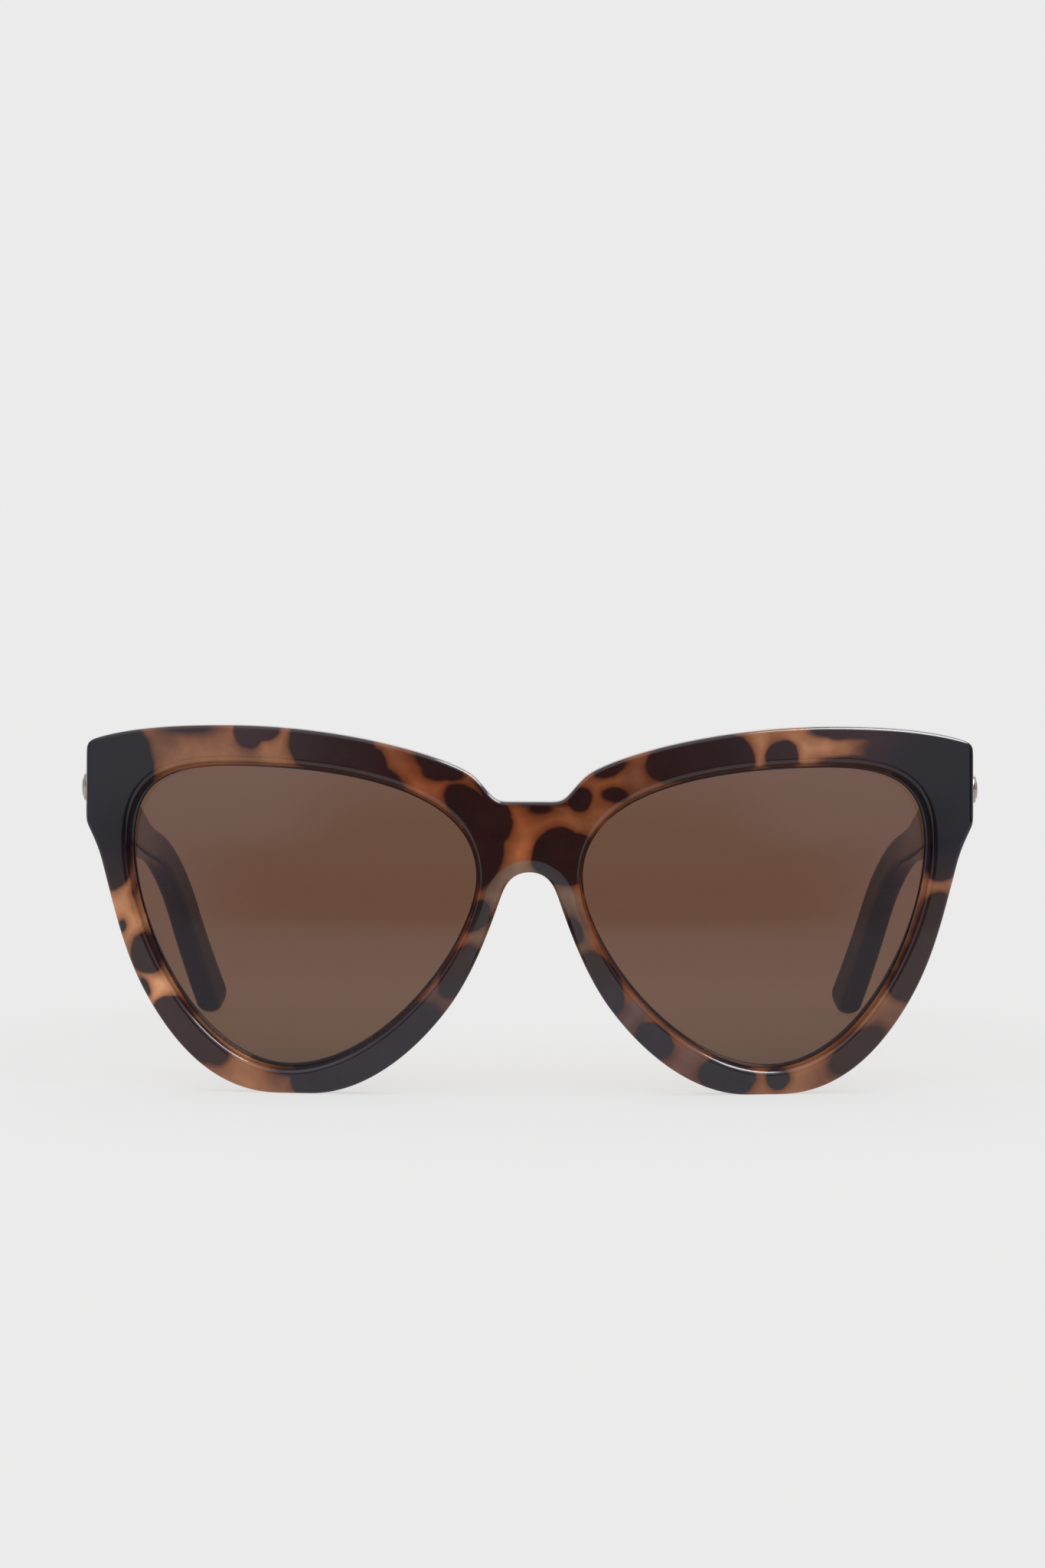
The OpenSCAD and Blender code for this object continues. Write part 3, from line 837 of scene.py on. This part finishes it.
def local_tints_and_sheen(nt, colour, field, flat, x, tints):
    """The front's tones: its own at the bridge and in the neutral dark marks, the patches that are
    partly painted shade and sheen, and the painted grey sheen on the nose bevel.
    """
    both_sides = vector_node(nt, "ABSOLUTE", flat)[0]
    reach = map_range(nt, math_node(nt, "ABSOLUTE", x), (52.0, 8.0), soft=True)
    colour = tinted(nt, colour, reach, BRIDGE_TINT)
    marked = map_range(nt, field, (0.15, -0.15), soft=True)
    for x, z, radius, dark in COOL_ZONES:
        zone = math_node(nt, "MULTIPLY", patch(nt, both_sides, x, z, radius, 1.0), marked)
        colour = tinted(nt, colour, zone, dark, "MIX")
    open_amber = math_node(nt, "SUBTRACT", 1.0, marked)
    # The patches: partly the amber's own tone, partly painted shade and sheen.
    for x, z, radius, share, tint in tints:
        soft = math_node(nt, "MULTIPLY", patch(nt, flat, x, z, radius, share), open_amber)
        colour = tinted(nt, colour, soft, tint)
    # Painted grey sheen on the bevel round the nose.
    bevel = map_range(nt, ellipse(nt, flat, *NOSE_BEVEL), (1.04, 0.99), soft=True)
    return tinted(nt, colour, bevel, BEVEL_SHEEN)


def tortoise(name, marks, plane, tints=(), wall=0.0):
    """Glossy acetate with dark marks in the plane "xz" or "yz", which run straight through it.

    tints are the front's patches, partly the acetate's own tone and partly painted shade and sheen.
    wall moves the edges of the marks inside a lens opening. This paints a red-brown glow of light
    through the amber on the wall and a groove shadow on the lip.
    """
    mat, nt, out = new_material(name)
    coords = node(nt, "ShaderNodeTexCoord")
    metre = 1 / MM
    position = vector_node(
        nt, "MULTIPLY_ADD", coords.outputs["Object"], (metre,) * 3, (0.0, -ROW_Y * metre, 0.0)
    )[0]
    # The edges of the marks waver a little.
    wave = noise(nt, position, Scale=0.22, Detail=2.0)["Color"]
    warp = vector_node(nt, "MULTIPLY_ADD", wave, (1.2, 1.2, 1.2), (-0.6, -0.6, -0.6))[0]
    moved = vector_node(nt, "ADD", position, warp)[0]
    x, y, z = node(nt, "ShaderNodeSeparateXYZ", {0: moved}).outputs
    flat = node(nt, "ShaderNodeCombineXYZ", {0: x if plane == "xz" else y, 1: z}).outputs[0]

    # Distance in millimetres from the edge of the nearest mark, below 0 inside it.
    field = None
    for along, up, half_x, half_z, turn, crisp in marks:
        k = crisp * min(half_x, half_z)
        size = ellipse(nt, flat, along, up, half_x, half_z, turn)
        edge = math_node(nt, "MULTIPLY_ADD", size, k, -k)
        field = edge if field is None else math_node(nt, "SMOOTH_MIN", field, edge, MARK_JOIN)
    if plane == "yz":
        # The marks are wider on the inner face of a temple, and cover its ear tip.
        inner = map_range(nt, math_node(nt, "ABSOLUTE", x), (71.0, 72.6), (-1.1, 0.0))
        tip = map_range(nt, y, (96.0, 114.0), (0.0, -4.0), soft=True)
        field = math_node(nt, "ADD", math_node(nt, "ADD", field, inner), tip)
    # In a lens opening the marks shift. On the wall they are softer and redder, a painted glow of
    # light through the amber. On the lip they are darker, a painted groove shadow.
    if wall:
        field = math_node(nt, "ADD", math_node(nt, "MULTIPLY", field, WALL_SOFT), wall)

    colour = colour_ramp(nt, map_range(nt, field, EDGE_RANGE), ACETATE)
    cloud = noise(nt, position, Scale=0.16, Detail=4.0, Roughness=0.6)["Fac"]
    grain = noise(nt, position, Scale=4.0, Detail=3.0)["Fac"]
    tone = map_range(nt, cloud, (0.3, 0.7), (0.78, 1.25))
    fine = map_range(nt, grain, result=(0.94, 1.06))
    both = math_node(nt, "MULTIPLY", tone, fine)
    if tints:
        colour = local_tints_and_sheen(nt, colour, field, flat, x, tints)
    shade = node(nt, "ShaderNodeVectorMath", {0: colour, "Scale": both}, operation="SCALE")

    ior, rough = FRONT_FINISH if tints else TEMPLE_FINISH
    bsdf = node(nt, "ShaderNodeBsdfPrincipled", {
        "Base Color": shade.outputs[0],
        "IOR": ior,
        "Subsurface Weight": 0.12,
        "Subsurface Radius": (1.0, 0.4, 0.2),
        "Subsurface Scale": 0.0015,
        "Roughness": map_range(nt, cloud, result=rough),
        "Normal": bumped(nt, cloud, 0.04, 0.0001),
    })
    nt.links.new(bsdf.outputs[0], out.inputs[0])
    return mat


# ---------------------------------------------------------------- lens and metal
# Colour that the lens lets through, from the floor up to LENS_TOP metres. Its brown is the lens's
# own. Its changes with height are partly the lens's own gradient and partly painted reflection and
# shade of the surroundings.
LENS_TOP = 0.056
LENS_TINT_AND_PAINTED_LIGHT = [
    (0.0, (0.350, 0.275, 0.230)),
    (0.14, (0.415, 0.312, 0.243)),
    (0.30, (0.438, 0.322, 0.250)),
    (0.43, (0.425, 0.305, 0.235)),
    (0.60, (0.425, 0.300, 0.238)),
    (0.75, (0.430, 0.312, 0.246)),
    (1.0, (0.448, 0.334, 0.274)),
]
# Share of light that the lens reflects head on.
LENS_SHINE = 0.04


def lens_material():
    """Clear tinted sheet with a gloss that grows towards its edge; the tint's changes with height are
    partly painted reflection and shade.
    """
    mat, nt, out = new_material("brown_lens_tint_and_painted_light")
    coords = node(nt, "ShaderNodeTexCoord")
    parts = node(nt, "ShaderNodeSeparateXYZ", {0: coords.outputs["Object"]})
    height = map_range(nt, parts.outputs[2], (0.0, LENS_TOP))
    clear = node(nt, "ShaderNodeBsdfTransparent", {"Color": colour_ramp(nt, height, LENS_TINT_AND_PAINTED_LIGHT)})
    gloss = node(nt, "ShaderNodeBsdfGlossy", {"Roughness": 0.03, "Color": (0.60, 0.63, 0.78, 1)})
    facing = node(nt, "ShaderNodeLayerWeight", {"Blend": 0.5}).outputs["Facing"]
    steep = math_node(nt, "POWER", facing, 5.0)
    shine = math_node(nt, "MULTIPLY_ADD", steep, 1 - LENS_SHINE, LENS_SHINE)
    mix = node(nt, "ShaderNodeMixShader", {0: shine, 1: clear.outputs[0], 2: gloss.outputs[0]})
    nt.links.new(mix.outputs[0], out.inputs[0])
    return mat


def metal(name, colour, rough, scale, stretch):
    """Metal with fine turning or drawing marks."""
    mat, nt, out = new_material(name)
    coords = node(nt, "ShaderNodeTexCoord")
    at = node(nt, "ShaderNodeMapping", {"Vector": coords.outputs["Object"], "Scale": stretch})
    marks = noise(nt, at.outputs[0], Scale=scale, Detail=4.0)["Fac"]
    worn = [c * 0.72 for c in colour]
    bsdf = node(nt, "ShaderNodeBsdfPrincipled", {
        "Metallic": 1.0,
        "Base Color": colour_ramp(nt, marks, [(0.3, worn), (0.7, colour)]),
        "Roughness": map_range(nt, marks, result=(rough * 0.7, rough * 1.4)),
        "Normal": bumped(nt, marks, 0.08, 0.00005),
    })
    nt.links.new(bsdf.outputs[0], out.inputs[0])
    return mat


def give(obj, *materials):
    """Sets a piece's materials; its faces keep their material numbers."""
    kinds = [p.material_index for p in obj.data.polygons]
    obj.data.materials.clear()
    for mat in materials:
        obj.data.materials.append(mat)
    obj.data.polygons.foreach_set("material_index", kinds)


def give_node(name, mat):
    """Sets the material of a CAD node."""
    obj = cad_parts[name]
    if not obj.material_slots:
        obj.data.materials.append(mat)
    for s in obj.material_slots:
        s.material = mat


acetate = tortoise("tortoise_front", FRONT_MARKS, "xz", FRONT_TINTS_AND_SHEEN)
# The lens wall's material carries a painted glow of light through the amber, and the lip's material a
# painted groove shadow.
acetate_wall_glow = tortoise("tortoise_lens_wall_glow", FRONT_MARKS, "xz", FRONT_TINTS_AND_SHEEN, 0.12)
acetate_lip_shadow = tortoise("tortoise_lens_lip_shadow", FRONT_MARKS, "xz", FRONT_TINTS_AND_SHEEN, -0.6)
acetate_side = {
    "right": tortoise("tortoise_right_temple", temple_marks(11), "yz"),
    "left": tortoise("tortoise_left_temple", temple_marks(5), "yz"),
}
lens_glass = lens_material()
hinge_metal = metal("hinge_brass", (0.72, 0.60, 0.38), 0.28, 900.0, (1, 1, 6))
wire_metal = metal("wire_steel", (0.62, 0.60, 0.57), 0.35, 1200.0, (1, 0.1, 1))
stud_metal = metal("stud_bronze", (0.44, 0.37, 0.31), 0.20, 700.0, (1, 1, 1))

# ---------------------------------------------------------------- pieces
front = build_front()
give(front, acetate, acetate_wall_glow, acetate_lip_shadow)
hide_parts("front_frame")
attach(front, "front")

for word, side in SIDES:
    lens = build_lens(f"lens_{word}_curved", side)
    give(lens, lens_glass)
    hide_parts(f"lens_{word}")
    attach(lens, "front")

    pad = build_pad(f"nose_pad_{word}_moulded", side)
    give(pad, acetate)
    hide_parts(f"nose_pad_{word}")
    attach(pad, "front")

    temple = build_temple(f"temple_{word}_arm", side)
    give(temple, acetate_side[word])
    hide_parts(f"temple_{word}")
    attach(temple, f"{word}_temple")

    for part in ("front_hinge", "front_rivets", "temple_hinge", "temple_rivets", "hinge_screw"):
        give_node(f"{part}_{word}", hinge_metal)
    give_node(f"core_wire_{word}", wire_metal)

    stud = build_stud(f"stud_{word}_cap", word, side)
    give(stud, stud_metal)
    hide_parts(f"stud_{word}")
    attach(stud, f"{word}_temple")

# ---------------------------------------------------------------- floor and dark card
# The floor's own tone, and a glow that evens it out to the pale grey of the photograph.
FLOOR_TONE = 0.22
FLOOR_GLOW = (0.624, 0.618, 0.606)


def stage_sheet(name, verts, columns, mat):
    """An open sheet of the set, from rows of points."""
    m = columns
    faces = [
        (j * m + i, j * m + i + 1, (j + 1) * m + i + 1, (j + 1) * m + i)
        for j in range(len(verts) // m - 1)
        for i in range(m - 1)
    ]
    mesh = bpy.data.meshes.new(name)
    mesh.from_pydata(verts, [], faces)
    mesh.materials.append(mat)
    obj = bpy.data.objects.new(name, mesh)
    bpy.context.scene.collection.objects.link(obj)
    return obj


def build_floor():
    """A wide pale floor, lit evenly."""
    mat, nt, out = new_material("pale_floor_paint")
    coords = node(nt, "ShaderNodeTexCoord")
    grain = noise(nt, coords.outputs["Object"], Scale=40.0)["Fac"]
    bsdf = node(nt, "ShaderNodeBsdfPrincipled", {
        "Base Color": map_range(nt, grain, result=(FLOOR_TONE * 0.995, FLOOR_TONE * 1.005)),
        "Roughness": 0.9,
        "Specular IOR Level": 0.0,
        "Emission Color": (*FLOOR_GLOW, 1),
        "Emission Strength": 1.0,
    })
    nt.links.new(bsdf.outputs[0], out.inputs[0])
    xs = [-30.0, -12.0, -5.0, -2.0, 0.0, 2.0, 5.0, 12.0, 30.0]
    ys = [-30.0, -12.0, -5.0, -2.4, -1.2, 0.0, 0.8, 2.0, 5.0, 12.0, 30.0]
    obj = stage_sheet("pale_floor", [(x, y, 0.0) for y in ys for x in xs], len(xs), mat)
    obj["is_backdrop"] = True


def build_card():
    """A small dark card before the glasses that only their gloss sees, soft at its edges."""
    mat, nt, out = new_material("dark_card_cloth")
    coords = node(nt, "ShaderNodeTexCoord")
    x, _, z = node(nt, "ShaderNodeSeparateXYZ", {0: coords.outputs["Object"]}).outputs
    low = map_range(nt, z, (0.0, 0.022), soft=True)
    ends = map_range(nt, math_node(nt, "ABSOLUTE", x), (0.215, 0.11), soft=True)
    top = map_range(nt, z, (0.075, 0.05), soft=True)
    cover = math_node(nt, "MULTIPLY", math_node(nt, "MULTIPLY", low, ends), top)
    clear = node(nt, "ShaderNodeBsdfTransparent")
    dark = node(nt, "ShaderNodeEmission", {"Color": (0.10, 0.10, 0.10, 1)})
    mix = node(nt, "ShaderNodeMixShader", {0: cover, 1: clear.outputs[0], 2: dark.outputs[0]})
    nt.links.new(mix.outputs[0], out.inputs[0])
    xs, zs = np.linspace(-0.22, 0.22, 11).tolist(), np.linspace(0.0005, 0.075, 5).tolist()
    verts = [(x, -0.24 + 0.9 * x**2, z) for z in zs for x in xs]
    obj = stage_sheet("dark_card", verts, len(xs), mat)
    obj.visible_camera = False
    obj.visible_diffuse = False
    obj.visible_shadow = False
    obj.visible_transmission = False
    obj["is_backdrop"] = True


build_floor()
build_card()

# ---------------------------------------------------------------- light
KEY_LEVEL, KEY_SIZE = 14.0, (1.15, 0.70)
KEY_DIRECTION, KEY_DISTANCE = (0.47, -0.06, 0.88), 1.3
KEY_TARGET = (0, 0, 0.03)


def key_light():
    """A softbox above that shows only as a reflection."""
    data = bpy.data.lights.new("key_strip", "AREA")
    data.shape = "RECTANGLE"
    data.size, data.size_y = KEY_SIZE
    data.energy = KEY_LEVEL * math.pi * KEY_SIZE[0] * KEY_SIZE[1]
    obj = bpy.data.objects.new("key_strip", data)
    obj.location = Vector(KEY_DIRECTION).normalized() * KEY_DISTANCE
    obj.rotation_euler = (Vector(KEY_TARGET) - obj.location).to_track_quat("-Z", "Y").to_euler()
    obj.visible_diffuse = False
    bpy.context.scene.collection.objects.link(obj)


key_light()

world = bpy.data.worlds.new("soft_studio")
bpy.context.scene.world = world
world.use_nodes = True
wt = world.node_tree
wt.nodes.clear()
where = node(wt, "ShaderNodeTexCoord").outputs["Generated"]


def lobe(direction, start, full, low, high):
    """The studio's light round one direction: low beyond start degrees, high within full."""
    toward = vector_node(wt, "DOT_PRODUCT", where, Vector(direction).normalized())["Value"]
    limits = (math.cos(math.radians(start)), math.cos(math.radians(full)))
    return map_range(wt, toward, limits, (low, high), soft=True)


# Bright behind the glasses; darker behind the camera and on the right; then bright to both sides
# of the camera and above.
level = lobe((0, 1, 0.1), 60, 30, 0.50, 0.83)
for extra in (
    lobe((0, -1, 0.05), 28, 3, 0.0, -0.42),
    lobe((1, -0.15, 0.0), 38, 15, 0.0, -0.42),
    lobe((-0.72, -0.7, 0.05), 34, 8, 0.0, 0.30),
    lobe((0.72, -0.7, 0.05), 30, 8, 0.0, 0.22),
    lobe((0, -0.35, 1), 62, 30, 0.0, 0.85),
):
    level = math_node(wt, "ADD", level, extra)
# The sky on the camera's side is a little cooler.
cool = node(wt, "ShaderNodeMix", data_type="RGBA")
wt.links.new(lobe((0, -1, 0), 100, 60, 0.0, 1.0), cool.inputs["Factor"])
cool.inputs["A"].default_value = (1.0, 1.0, 1.0, 1)
cool.inputs["B"].default_value = (0.94, 0.98, 1.10, 1)
sky = node(wt, "ShaderNodeBackground", {"Color": cool.outputs["Result"], "Strength": level})
node(wt, "ShaderNodeOutputWorld", {0: sky.outputs[0]})

# ---------------------------------------------------------------- camera
# Millimetres before the front and above the floor, focal length, and turns in degrees.
CAMERA_BACK, CAMERA_UP = 800.0, 89.85
CAMERA_LENS = 112.75
PITCH, YAW, ROLL = -2.757, 0.085, 0.17

camera_data = bpy.data.cameras.new("camera")
camera_data.lens = CAMERA_LENS
camera_data.sensor_width = 36.0
camera_data.sensor_fit = "AUTO"
camera_data.clip_start = 0.05
camera = bpy.data.objects.new("camera", camera_data)
turn = (
    Matrix.Rotation(math.radians(YAW), 4, "Z")
    @ Matrix.Rotation(math.radians(90 + PITCH), 4, "X")
    @ Matrix.Rotation(math.radians(ROLL), 4, "Z")
)
camera.matrix_world = Matrix.Translation((0, ROW_Y - CAMERA_BACK * MM, CAMERA_UP * MM)) @ turn
bpy.context.scene.collection.objects.link(camera)
bpy.context.scene.camera = camera
bpy.context.scene.view_settings.view_transform = "Standard"

plain = lambda b: [[float(v) for v in corner] for corner in b]
{"cad": plain(CAD_BOX), "visual": plain(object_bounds())}
